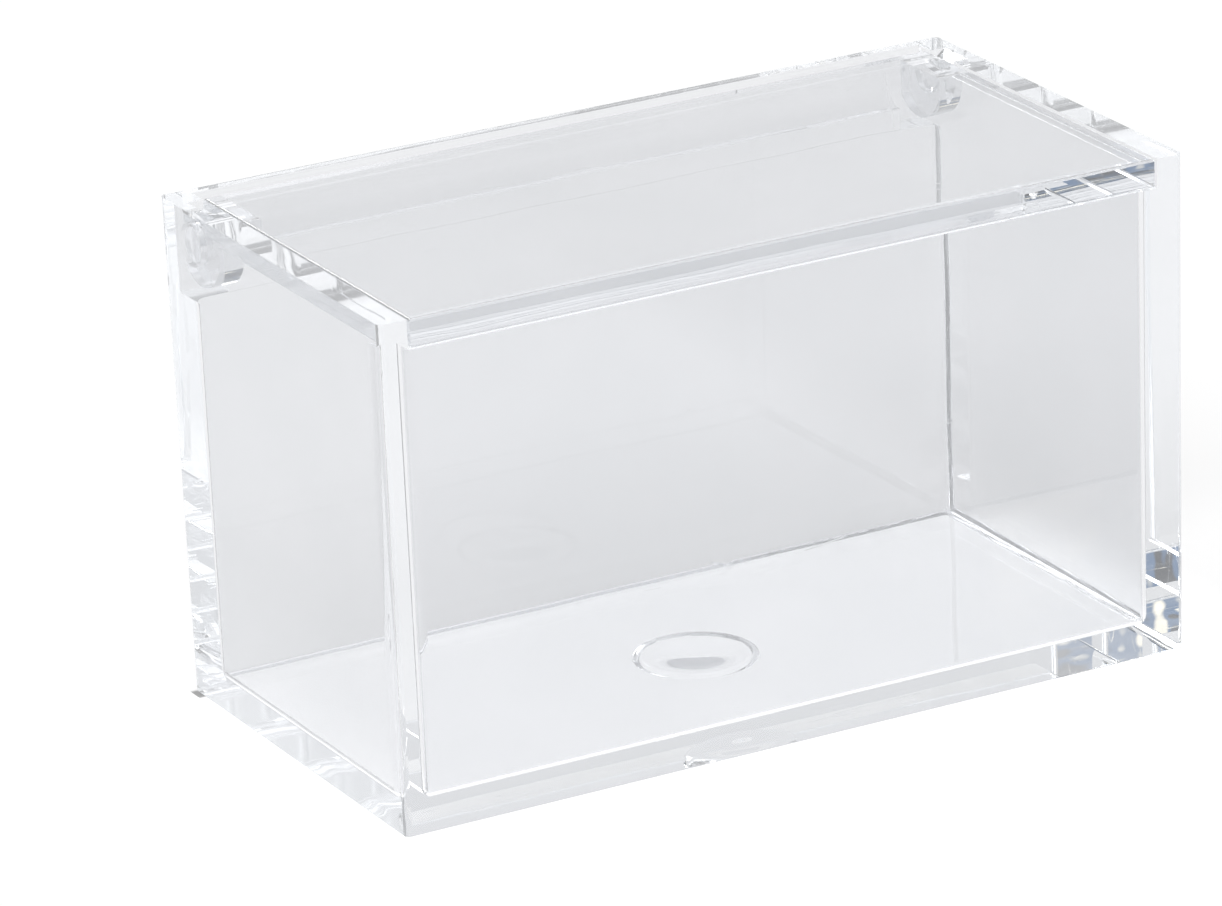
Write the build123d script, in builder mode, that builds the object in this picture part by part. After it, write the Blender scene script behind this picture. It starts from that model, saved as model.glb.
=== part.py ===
"""Hinged pick box: a clear moulded box and the lid that snaps into its side walls.

Millimetres. The origin is the middle of the underside. +X is the box's right, -Y its front, and +Z is up.
The lid is drawn closed. It turns about an axis along X near the top of the back wall.
"""
from build123d import *
import math
import os

# ---- outside of the box ----
width = 85.0
depth = 45.0
height = 50.0
outer_draft = 0.5  # degrees, the outside is widest at the open top
outer_corner = 0.6  # radius down the four upright corners
outer_edge = 0.2  # radius round the underside and the rim

# ---- walls, measured at the rim ----
side_wall = 2.85
front_wall = 2.9
back_wall = 3.9
floor = 2.6
inner_draft = 0.6  # degrees, the walls thicken towards the floor
inner_corner = 1.0  # radius between the walls
floor_fillet = 0.9  # radius round the floor

# ---- lid ----
lid_thickness = 2.8
lid_side_gap = 0.3
lid_rest_gap = 0.1  # left between the lid and the top of the front wall
lid_edge = 0.25
lid_rear = 20.0  # y of the lid's rear edge
lid_rear_round = 1.0

# ---- hinge ----
pivot_y = 16.8
pivot_z = 46.6
knuckle_radius = 4.3
knuckle_length = 2.55
pin_radius = 2.1
pin_length = 2.0
pin_tip_chamfer = 0.35
pin_clearance = 0.07  # radial, between the pin and its hole
pin_end_gap = 0.25
snap_slot_width = 4.4
snap_slot_mouth = 1.6  # how far the slot above each pin hole cuts into the side wall at the rim
snap_slot_foot = 0.5  # and at its lower end
snap_ridge = 0.35  # height of the ridge left between the slot and the hole

# ---- recess in the back wall that the lid's rear edge swings through ----
thin_back_wall = 1.15
ledge_height = 42.8
pocket_floor = 40.6
pocket_inner_end = 35.8  # x where each knuckle's pocket meets the ledge
parting_ridge_height = 0.16  # hair of flash along the back wall, level with the pocket floors
parting_ridge_depth = 0.06

# ---- gate mark under the floor ----
gate_radius = 6.1
gate_rim_radius = 5.1
gate_depth = 0.75
gate_centre_depth = 0.4
gate_shoulder_out = 0.75  # where the sloping side of the mark bulges, as parts of its width
gate_shoulder_up = 0.6  # and of its depth

# ---- worked out from the above ----
outer_inset = height * math.tan(math.radians(outer_draft))


def inner_inset(z):
    """How much closer to the middle an inside wall is at height z than at the rim."""
    return (height - z) * math.tan(math.radians(inner_draft))


def inner_width(z):
    """Distance between the two side walls at height z."""
    return width - 2 * (side_wall + inner_inset(z))


def back_wall_face(z):
    """y of the back wall's inside face at height z, below the recess."""
    return depth / 2 - back_wall - inner_inset(z)


rim_half_width = width / 2 - side_wall
front_wall_face = -depth / 2 + front_wall + inner_inset(floor)
front_wall_top = height - lid_thickness - lid_rest_gap
thin_wall_face = depth / 2 - thin_back_wall
cove_radius = thin_wall_face - pivot_y
ledge_drop = pivot_z - ledge_height
cove_foot = pivot_y + math.sqrt(cove_radius**2 - ledge_drop**2)
lid_half_width = rim_half_width - lid_side_gap
pin_hole_end = lid_half_width + pin_length + pin_end_gap
pin_hole_radius = pin_radius + pin_clearance
snap_slot_bottom = pivot_z + pin_hole_radius + snap_ridge


# ---- box body ----
with BuildPart() as box_body:
    # outside block
    with BuildSketch(Plane.XY):
        Rectangle(width - 2 * outer_inset, depth - 2 * outer_inset)
    extrude(amount=height, taper=-outer_draft)
    rim_edges = box_body.faces().sort_by(Axis.Z)[-1].edges()
    foot_edges = box_body.faces().sort_by(Axis.Z)[0].edges()
    upright_edges = box_body.edges() - rim_edges - foot_edges
    fillet(upright_edges, outer_corner)
    foot_edges = box_body.faces().sort_by(Axis.Z)[0].edges()
    fillet(foot_edges, outer_edge)

    # pick compartment
    compartment_depth = back_wall_face(floor) - front_wall_face
    with BuildSketch(Plane.XY.offset(floor)):
        with Locations((0, front_wall_face + compartment_depth / 2)):
            RectangleRounded(inner_width(floor), compartment_depth, inner_corner)
    extrude(amount=height - floor, taper=-inner_draft, mode=Mode.SUBTRACT)
    floor_face = box_body.faces().filter_by(Axis.Z).sort_by(Axis.Z)[1]
    fillet(floor_face.edges(), floor_fillet)

    # the front wall stops short of the rim, so that the lid closes over it
    opening_depth = 2 * (front_wall + inner_corner)
    with BuildSketch(Plane.XY.offset(front_wall_top)):
        with Locations((0, -depth / 2)):
            Rectangle(inner_width(front_wall_top), 2 * opening_depth)
    extrude(amount=height - front_wall_top, taper=-inner_draft, mode=Mode.SUBTRACT)

    # recess with a rounded ledge, between the two knuckle pockets
    with BuildSketch(Plane.YZ.offset(-pocket_inner_end)):
        with BuildLine():
            start = (pivot_y, height)
            corner = (thin_wall_face, height)
            cove_start = (thin_wall_face, pivot_z)
            cove_end = (cove_foot, ledge_height)
            front_end = (pivot_y, ledge_height)
            Line(start, corner)
            Line(corner, cove_start)
            RadiusArc(cove_start, cove_end, cove_radius)
            Line(cove_end, front_end)
            Line(front_end, start)
        make_face()
    extrude(amount=2 * pocket_inner_end, mode=Mode.SUBTRACT)

    # knuckle pockets, from the ledge's ends to the side walls
    pocket_outer_end = inner_width(pocket_floor) / 2
    pocket_length = pocket_outer_end - pocket_inner_end
    pocket_middle_x = pocket_outer_end - pocket_length / 2
    pocket_back = thin_wall_face - inner_inset(pocket_floor)
    pocket_depth = pocket_back - pivot_y
    with BuildSketch(Plane.XY.offset(pocket_floor)):
        with Locations(
            (pocket_middle_x, pocket_back - pocket_depth / 2),
            (-pocket_middle_x, pocket_back - pocket_depth / 2),
        ):
            Rectangle(pocket_length, pocket_depth)
    extrude(amount=height - pocket_floor, taper=-inner_draft, mode=Mode.SUBTRACT)

    # ridge of flash along the back wall
    ridge_face = back_wall_face(pocket_floor)
    with BuildSketch(Plane.YZ.offset(-pocket_inner_end)):
        with BuildLine():
            Polyline(
                (ridge_face + parting_ridge_depth, pocket_floor - parting_ridge_height / 2),
                (ridge_face - parting_ridge_depth, pocket_floor),
                (ridge_face + parting_ridge_depth, pocket_floor + parting_ridge_height / 2),
                close=True,
            )
        make_face()
    extrude(amount=2 * pocket_inner_end)

    # blind pin holes in the side walls
    with BuildSketch(Plane.YZ.offset(-pin_hole_end)):
        with Locations((pivot_y, pivot_z)):
            Circle(pin_hole_radius)
    extrude(amount=2 * pin_hole_end, mode=Mode.SUBTRACT)

    # sloped slots that the pins are pushed down to reach their holes
    with BuildSketch(Plane.XZ.offset(-(pivot_y - snap_slot_width / 2))):
        with BuildLine():
            Polyline(
                (rim_half_width - side_wall, height),
                (rim_half_width + snap_slot_mouth, height),
                (rim_half_width + snap_slot_foot, snap_slot_bottom),
                (rim_half_width - side_wall, snap_slot_bottom),
                close=True,
            )
        make_face()
        mirror(about=Plane.YZ)
    extrude(amount=-snap_slot_width, mode=Mode.SUBTRACT)

    # round gate mark under the floor, its middle domed back down
    gate_shoulder = (
        gate_rim_radius + gate_shoulder_out * (gate_radius - gate_rim_radius),
        gate_shoulder_up * gate_depth,
    )
    with BuildSketch(Plane.XZ):
        with BuildLine():
            Line((0, 0), (gate_radius, 0))
            ThreePointArc((gate_radius, 0), gate_shoulder, (gate_rim_radius, gate_depth))
            Spline(
                (gate_rim_radius, gate_depth),
                (0, gate_centre_depth),
                tangents=[(-1, 0), (-1, 0)],
            )
            Line((0, gate_centre_depth), (0, 0))
        make_face()
    revolve(axis=Axis.Z, mode=Mode.SUBTRACT)

box_body.part.label = "box_body"


# ---- lid ----
with BuildPart() as lid:
    # plate
    plate_bottom = height - lid_thickness
    with BuildSketch(Plane.XY.offset(plate_bottom)):
        with Locations((0, (lid_rear - depth / 2) / 2)):
            Rectangle(2 * lid_half_width, lid_rear + depth / 2)
    extrude(amount=lid_thickness)
    rear_top = lid.edges().filter_by(Axis.X).group_by(Axis.Y)[-1].sort_by(Axis.Z)[-1]
    fillet(rear_top, lid_rear_round)
    side_edges = lid.edges().filter_by(Axis.Y)
    front_edges = lid.edges().filter_by(Axis.X).group_by(Axis.Y)[0]
    fillet(side_edges + front_edges, lid_edge)

    # round knuckles under the rear corners, flat behind, where they are flush with the plate
    knuckle_start = lid_half_width - knuckle_length
    knuckle_front = pivot_y - knuckle_radius
    knuckle_bottom = pivot_z - knuckle_radius
    plate_middle = height - lid_thickness / 2
    with BuildSketch(Plane.YZ.offset(knuckle_start)):
        with Locations((pivot_y, pivot_z)):
            Circle(knuckle_radius)
        with Locations(((knuckle_front + lid_rear) / 2, (knuckle_bottom + plate_middle) / 2)):
            Rectangle(lid_rear - knuckle_front, plate_middle - knuckle_bottom, mode=Mode.INTERSECT)
    knuckles = extrude(amount=knuckle_length)
    mirror(knuckles, about=Plane.YZ)

    # hinge pins
    with BuildSketch(Plane.YZ.offset(lid_half_width - knuckle_length / 2)):
        with Locations((pivot_y, pivot_z)):
            Circle(pin_radius)
    pins = extrude(amount=knuckle_length / 2 + pin_length)
    mirror(pins, about=Plane.YZ)
    tip_faces = lid.faces().filter_by(Axis.X).sort_by(Axis.X)
    chamfer(tip_faces[0].edges() + tip_faces[-1].edges(), pin_tip_chamfer)

lid.part.label = "lid"


os.makedirs("parts", exist_ok=True)
export_step(box_body.part, "parts/box_body.step")
export_step(lid.part, "parts/lid.step")
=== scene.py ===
"""Clear hinged pick box on a white table, looked at from its front left corner and a little above."""

import math

import bpy
from mathutils import Matrix, Vector


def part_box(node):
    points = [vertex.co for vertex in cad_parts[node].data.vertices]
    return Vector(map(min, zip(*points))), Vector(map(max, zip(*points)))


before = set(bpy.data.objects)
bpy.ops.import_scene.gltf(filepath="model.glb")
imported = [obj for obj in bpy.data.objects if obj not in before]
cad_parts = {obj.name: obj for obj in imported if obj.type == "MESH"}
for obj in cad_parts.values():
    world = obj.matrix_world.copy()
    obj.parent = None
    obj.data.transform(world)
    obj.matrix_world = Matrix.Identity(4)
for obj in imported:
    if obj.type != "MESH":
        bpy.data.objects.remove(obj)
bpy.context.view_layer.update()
scene = bpy.context.scene
MM = 0.001


# ---- node helpers ----
def math_node(tree, operation, first, second=None):
    """A Math node's output; each operand is a number or a socket."""
    node = tree.nodes.new("ShaderNodeMath")
    node.operation = operation
    for socket, operand in zip(node.inputs, (first, second)):
        if operand is None:
            continue
        if isinstance(operand, (int, float)):
            socket.default_value = operand
        else:
            tree.links.new(operand, socket)
    return node.outputs[0]


def ramp(tree, value, start, end):
    """0 where value is at start, 1 where it is at end, with a smooth step between."""
    node = tree.nodes.new("ShaderNodeMapRange")
    node.interpolation_type = "SMOOTHSTEP"
    if start < end:
        limits = (start, end, 0.0, 1.0)
    else:
        limits = (end, start, 1.0, 0.0)
    for name, number in zip(("From Min", "From Max", "To Min", "To Max"), limits):
        node.inputs[name].default_value = number
    tree.links.new(value, node.inputs["Value"])
    return node.outputs["Result"]


def mix_colour(tree, factor, first, second):
    """first where factor is 0 and second where it is 1; each is a colour or a socket."""
    node = tree.nodes.new("ShaderNodeMix")
    node.data_type = "RGBA"
    tree.links.new(factor, node.inputs["Factor"])
    colour_inputs = [s for s in node.inputs if s.type == "RGBA"]
    for socket, colour in zip(colour_inputs, (first, second)):
        if isinstance(colour, tuple):
            socket.default_value = (*colour, 1.0)
        else:
            tree.links.new(colour, socket)
    return [s for s in node.outputs if s.type == "RGBA"][0]


def shift(tree, coords, place=(0, 0, 0), turn=(0, 0, 0), scale=(1, 1, 1)):
    """The coordinates scaled, turned and moved, in that order."""
    node = tree.nodes.new("ShaderNodeMapping")
    node.inputs["Location"].default_value = place
    node.inputs["Rotation"].default_value = turn
    node.inputs["Scale"].default_value = scale
    tree.links.new(coords, node.inputs["Vector"])
    return node.outputs["Vector"]


def noise(tree, coords, size, detail=0.0):
    """Noise whose lumps are about size metres across."""
    node = tree.nodes.new("ShaderNodeTexNoise")
    node.inputs["Scale"].default_value = 1.0 / size
    node.inputs["Detail"].default_value = detail
    tree.links.new(coords, node.inputs["Vector"])
    return node.outputs["Fac"]


# ---- clear plastic ----
PLASTIC_IOR = 1.55
CLEAR = (0.823, 0.828, 0.842)  # what a wall's two faces let through
CLOUDY = (0.808, 0.815, 0.829)
BODY_COLOUR = (0.30, 0.38, 0.45)
BODY_DENSITY = 2.3  # per metre: the longer the way through the plastic, the darker
PLASTIC_PAINTED_GLOW = 0.016  # painted glow: white light the plastic gives off everywhere, in place of light its polished faces would scatter
FLOW_SIZE = 14 * MM
FLOW_DETAIL = 1.0
FLOW_DEPTH = 0.030 * MM
CLOUD_LEVELS = (0.35, 0.65)  # flow noise where the plastic starts and ends turning cloudy
SCRATCH_SPACING = 5 * MM
SCRATCH_TURN = (0.3, 0.5, 0.4)
CROSS_SCRATCH_SPACING = 8 * MM
CROSS_SCRATCH_TURN = (0.2, 1.1, 2.2)
SCRATCH_STRETCH = 9.0
SCRATCH_HALF_WIDTH = 0.008  # in noise levels, either side of the middle level
SCRATCH_DEPTH = 0.0015 * MM
MARK_ROUGHNESS = 0.12
NOISE_MIDDLE = 0.5
PATCH_SIZE = 6 * MM
PATCH_LEVELS = (0.60, 0.72)  # patch noise where scratches start and are at their fullest
LEAST_SCUFFED_SHARE = 0.4
DUST_COLOUR = (0.40, 0.40, 0.40)
DUST_SPACING = 1.6 * MM
DUST_RADIUS = 0.11 * MM
DUST_SHARE = 0.05
DUST_HEIGHT = 0.008 * MM
LID_PATTERN_PLACE = (0.31, 0.17, 0.23)  # metres into the noise, so the lid's marks differ from the box's


def hairlines(tree, coords, turn, spacing):
    """Fine scratches that run one way, a few centimetres long: 1 on a scratch and 0 beside it."""
    drawn_out = shift(tree, coords, turn=turn, scale=(1 / SCRATCH_STRETCH, 1, 1))
    level = noise(tree, drawn_out, spacing)
    away = math_node(tree, "ABSOLUTE", math_node(tree, "SUBTRACT", level, NOISE_MIDDLE))
    return ramp(tree, away, SCRATCH_HALF_WIDTH, 0.0)


def specks(tree, coords, spacing, radius, share):
    """Dust dots: 1 in the middle of a dot. Only a share of the cells hold one."""
    node = tree.nodes.new("ShaderNodeTexVoronoi")
    node.inputs["Scale"].default_value = 1.0 / spacing
    tree.links.new(coords, node.inputs["Vector"])
    dot = ramp(tree, node.outputs["Distance"], radius / spacing, 0.0)
    split = tree.nodes.new("ShaderNodeSeparateColor")
    tree.links.new(node.outputs["Color"], split.inputs["Color"])
    chosen = math_node(tree, "LESS_THAN", split.outputs["Red"], share)
    return math_node(tree, "MULTIPLY", dot, chosen)


def scuffing(tree, coords, most, least):
    """How scratched each height is: fully at height most, and less towards height least."""
    split = tree.nodes.new("ShaderNodeSeparateXYZ")
    tree.links.new(coords, split.inputs["Vector"])
    worn = ramp(tree, split.outputs["Z"], least, most)
    worn = math_node(tree, "MULTIPLY", worn, 1 - LEAST_SCUFFED_SHARE)
    return math_node(tree, "ADD", worn, LEAST_SCUFFED_SHARE)


def clear_plastic(name, place, most_scuffed, least_scuffed):
    """Polished clear moulding: flow waves, cloudy patches, hairline scratches, dust and a faint painted
    glow.

    place moves the patterns, so that the two pieces differ.
    """
    material = bpy.data.materials.new(name)
    material.use_nodes = True
    tree = material.node_tree
    shader = tree.nodes["Principled BSDF"]
    shader.inputs["Transmission Weight"].default_value = 1.0
    shader.inputs["IOR"].default_value = PLASTIC_IOR
    # painted glow: the plastic gives off a little white light of its own, which lightens it everywhere
    shader.inputs["Emission Color"].default_value = (1, 1, 1, 1)
    shader.inputs["Emission Strength"].default_value = PLASTIC_PAINTED_GLOW
    object_coords = tree.nodes.new("ShaderNodeTexCoord").outputs["Object"]
    coords = shift(tree, object_coords, place=place)

    # wear
    lines = hairlines(tree, coords, SCRATCH_TURN, SCRATCH_SPACING)
    cross_lines = hairlines(tree, coords, CROSS_SCRATCH_TURN, CROSS_SCRATCH_SPACING)
    patches = ramp(tree, noise(tree, coords, PATCH_SIZE), *PATCH_LEVELS)
    scratches = math_node(tree, "MAXIMUM", lines, cross_lines)
    scratches = math_node(tree, "MULTIPLY", scratches, patches)
    amount = scuffing(tree, object_coords, most_scuffed, least_scuffed)
    scratches = math_node(tree, "MULTIPLY", scratches, amount)
    dust = specks(tree, coords, DUST_SPACING, DUST_RADIUS, DUST_SHARE)
    flow = noise(tree, coords, FLOW_SIZE, FLOW_DETAIL)

    # colour
    colour = mix_colour(tree, ramp(tree, flow, *CLOUD_LEVELS), CLEAR, CLOUDY)
    colour = mix_colour(tree, dust, colour, DUST_COLOUR)
    tree.links.new(colour, shader.inputs["Base Color"])

    # gloss
    marks = math_node(tree, "MAXIMUM", scratches, dust)
    roughness = math_node(tree, "MULTIPLY", marks, MARK_ROUGHNESS)
    tree.links.new(roughness, shader.inputs["Roughness"])

    # relief, with heights in metres
    height = math_node(tree, "MULTIPLY", flow, FLOW_DEPTH)
    for pattern, depth in ((scratches, -SCRATCH_DEPTH), (dust, DUST_HEIGHT)):
        height = math_node(tree, "ADD", height, math_node(tree, "MULTIPLY", pattern, depth))
    bump = tree.nodes.new("ShaderNodeBump")
    bump.inputs["Distance"].default_value = 1.0
    tree.links.new(height, bump.inputs["Height"])
    tree.links.new(bump.outputs["Normal"], shader.inputs["Normal"])

    # depth
    absorption = tree.nodes.new("ShaderNodeVolumeAbsorption")
    absorption.inputs["Color"].default_value = (*BODY_COLOUR, 1)
    absorption.inputs["Density"].default_value = BODY_DENSITY
    output = tree.nodes["Material Output"]
    tree.links.new(absorption.outputs["Volume"], output.inputs["Volume"])
    return material


def dress(node_name, material):
    """Gives a CAD node this material all over."""
    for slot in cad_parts[node_name].material_slots:
        slot.material = material


box_low, box_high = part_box("box_body")
lid_low, lid_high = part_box("lid")
dress("box_body", clear_plastic("box_plastic_clear", (0, 0, 0), box_low.z, box_high.z))
dress("lid", clear_plastic("lid_plastic_clear", LID_PATTERN_PLACE, lid_high.z, lid_low.z))


# ---- table ----
TABLE_HALF = 3.0
TABLE_DROP = 0.1 * MM  # the box stands on a hair of air, so its underside mirrors as it should
TABLE_WHITE = 0.13
TABLE_ROUGHNESS = 0.9
TABLE_GLOW = 0.87
TABLE_PAINTED_POOL_GLOW = 1.20  # painted pool of light: the table glows brighter under the box and in front of it
PAINTED_POOL_BACK_EDGE = 5 * MM  # how softly the painted pool of light starts at the back wall
PAINTED_POOL_SIDE_EDGE = 12 * MM
SHADOW_REACH = 60 * MM  # the soft shadow behind the box
SHADOW_SHARE = 0.12
SHADOW_LEFT = -34 * MM
CONTACT_SHADOW_WIDTH = 2.6 * MM  # painted contact shadow: a dark line on the table under the back wall
CONTACT_SHADOW_SHARE = 0.7


def table_shadows(tree, x, y, beside, behind):
    """The table's two shadows as (how much, share of the light taken) pairs."""
    outside = math_node(tree, "MAXIMUM", beside, behind)
    beyond_box = math_node(tree, "GREATER_THAN", outside, 0.0)
    soft = math_node(tree, "MULTIPLY", ramp(tree, outside, SHADOW_REACH, 0.0), beyond_box)
    soft = math_node(tree, "MULTIPLY", soft, ramp(tree, y, 0.0, box_high.y))
    soft = math_node(tree, "MULTIPLY", soft, ramp(tree, x, SHADOW_LEFT, SHADOW_LEFT / 2))
    # painted contact shadow: a dark line along the table under the back wall
    from_line = math_node(tree, "ABSOLUTE", math_node(tree, "ADD", behind, CONTACT_SHADOW_WIDTH / 2))
    contact_shadow = ramp(tree, from_line, CONTACT_SHADOW_WIDTH / 2, CONTACT_SHADOW_WIDTH / 4)
    contact_shadow = math_node(tree, "MULTIPLY", contact_shadow, math_node(tree, "LESS_THAN", beside, 0.0))
    return (soft, SHADOW_SHARE), (contact_shadow, CONTACT_SHADOW_SHARE)


def table_glow(tree):
    """How brightly each place on the table glows: an even glow, a painted pool of light under and in
    front of the box, and painted shadows behind it.
    """
    coords = tree.nodes.new("ShaderNodeTexCoord").outputs["Object"]
    split = tree.nodes.new("ShaderNodeSeparateXYZ")
    tree.links.new(coords, split.inputs["Vector"])
    x = split.outputs["X"]
    y = split.outputs["Y"]
    beside = math_node(tree, "SUBTRACT", math_node(tree, "ABSOLUTE", x), box_high.x)
    behind = math_node(tree, "SUBTRACT", y, box_high.y)
    # painted pool of light under the box and in front of it
    painted_pool = ramp(tree, behind, 0.0, -PAINTED_POOL_BACK_EDGE)
    painted_pool = math_node(tree, "MULTIPLY", painted_pool, ramp(tree, beside, PAINTED_POOL_SIDE_EDGE, 0.0))
    painted_pool_extra = math_node(tree, "MULTIPLY", painted_pool, TABLE_PAINTED_POOL_GLOW - TABLE_GLOW)
    glow = math_node(tree, "ADD", painted_pool_extra, TABLE_GLOW)
    for shadow, share in table_shadows(tree, x, y, beside, behind):
        lit = math_node(tree, "SUBTRACT", 1.0, math_node(tree, "MULTIPLY", shadow, share))
        glow = math_node(tree, "MULTIPLY", glow, lit)
    return glow


def table_material():
    """Matt white that glows, as a table lit from above does."""
    material = bpy.data.materials.new("pale_table")
    material.use_nodes = True
    tree = material.node_tree
    shader = tree.nodes["Principled BSDF"]
    shader.inputs["Base Color"].default_value = (TABLE_WHITE, TABLE_WHITE, TABLE_WHITE, 1)
    shader.inputs["Roughness"].default_value = TABLE_ROUGHNESS
    shader.inputs["Specular IOR Level"].default_value = 0.0
    shader.inputs["Emission Color"].default_value = (1, 1, 1, 1)
    tree.links.new(table_glow(tree), shader.inputs["Emission Strength"])
    return material


def table():
    """A wide white table top under the box."""
    far = TABLE_HALF
    corners = [(-far, -far, -TABLE_DROP), (far, -far, -TABLE_DROP)]
    corners += [(far, far, -TABLE_DROP), (-far, far, -TABLE_DROP)]
    mesh = bpy.data.meshes.new("table_top")
    mesh.from_pydata(corners, [], [(0, 1, 2, 3)])
    mesh.materials.append(table_material())
    piece = bpy.data.objects.new("table_top", mesh)
    scene.collection.objects.link(piece)


table()


# ---- studio ----
BACKDROP = (0.83, 0.835, 0.845)
ROOM = (0.45, 0.46, 0.48)
CEILING = (1.5, 1.5, 1.52)
STRIP_LAMP = (9.0, 9.0, 9.0)
SIDE_LAMP = (2.6, 2.6, 2.6)
STAND_DARK = (0.02, 0.025, 0.035)
STAND_BLUE = (0.09, 0.20, 0.38)
STAND_WARM = (1.9, 1.75, 1.4)
# patches of sky: the middle and half size, both as (azimuth, elevation) in degrees, and the soft edge
CAMERA_SPOT = ((-152.0, 25.0), (18.0, 20.0), 8.0)
STAND = ((-29.0, 8.0), (11.0, 14.0), 3.0)
STRIP = ((-14.0, 34.0), (16.0, 6.0), 2.0)
SIDE = ((-95.0, 35.0), (22.0, 16.0), 6.0)
CEILING_ELEVATIONS = (50.0, 70.0)  # where the backdrop starts and ends turning into ceiling
CLUTTER_SIZE = 0.035
CLUTTER_DETAIL = 2.0
BLUE_LEVELS = (0.48, 0.53)  # clutter noise where dark turns blue
WARM_LEVELS = (0.56, 0.61)  # and where blue turns warm white


def window(tree, azimuth, elevation, middle, half, soft):
    """1 inside a patch of sky and 0 outside it."""
    inside = None
    for angle, centre, reach in zip((azimuth, elevation), middle, half):
        away = math_node(tree, "ABSOLUTE", math_node(tree, "SUBTRACT", angle, centre))
        edge = ramp(tree, away, reach + soft, reach - soft)
        inside = edge if inside is None else math_node(tree, "MULTIPLY", inside, edge)
    return inside


def studio():
    """A pale backdrop, a bright ceiling, a darker spot round the camera, two lamps and a dark stand."""
    world = bpy.data.worlds.new("studio")
    scene.world = world
    world.use_nodes = True
    tree = world.node_tree
    direction = tree.nodes.new("ShaderNodeTexCoord").outputs["Generated"]
    split = tree.nodes.new("ShaderNodeSeparateXYZ")
    tree.links.new(direction, split.inputs["Vector"])
    turn = math_node(tree, "ARCTAN2", split.outputs["X"], split.outputs["Y"])
    azimuth = math_node(tree, "DEGREES", turn)
    rise = math_node(tree, "ARCSINE", split.outputs["Z"])
    elevation = math_node(tree, "DEGREES", rise)

    colour = mix_colour(tree, window(tree, azimuth, elevation, *CAMERA_SPOT), BACKDROP, ROOM)
    colour = mix_colour(tree, ramp(tree, elevation, *CEILING_ELEVATIONS), colour, CEILING)

    clutter = noise(tree, direction, CLUTTER_SIZE, CLUTTER_DETAIL)
    stand_colour = mix_colour(tree, ramp(tree, clutter, *BLUE_LEVELS), STAND_DARK, STAND_BLUE)
    stand_colour = mix_colour(tree, ramp(tree, clutter, *WARM_LEVELS), stand_colour, STAND_WARM)
    patches = ((STAND, stand_colour), (STRIP, STRIP_LAMP), (SIDE, SIDE_LAMP))
    for patch, patch_colour in patches:
        colour = mix_colour(tree, window(tree, azimuth, elevation, *patch), colour, patch_colour)
    tree.links.new(colour, tree.nodes["Background"].inputs["Color"])


studio()


# ---- camera ----
CAMERA_PLACE = Vector((-0.3526, -0.6518, 0.2944))
CAMERA_AIM = Vector((-0.00632, 0.00239, 0.02271))
CAMERA_ROLL = math.radians(-2.36)
CAMERA_LENS = 244.7
SENSOR_WIDTH = 36.0
CLIP_START = 10 * MM


def camera():
    """The camera, with a long lens and a slight roll."""
    data = bpy.data.cameras.new("camera")
    data.lens = CAMERA_LENS
    data.sensor_width = SENSOR_WIDTH
    data.clip_start = CLIP_START
    piece = bpy.data.objects.new("camera", data)
    scene.collection.objects.link(piece)
    turn = (CAMERA_AIM - CAMERA_PLACE).to_track_quat("-Z", "Y").to_matrix().to_4x4()
    roll = Matrix.Rotation(CAMERA_ROLL, 4, "Z")
    piece.matrix_world = Matrix.Translation(CAMERA_PLACE) @ turn @ roll
    scene.camera = piece


camera()


# ---- render look and light bounces ----
LIGHT_BOUNCES = 28  # light caught inside the walls needs many
scene.view_settings.view_transform = "Standard"
scene.cycles.max_bounces = LIGHT_BOUNCES
scene.cycles.transmission_bounces = LIGHT_BOUNCES
scene.cycles.glossy_bounces = LIGHT_BOUNCES
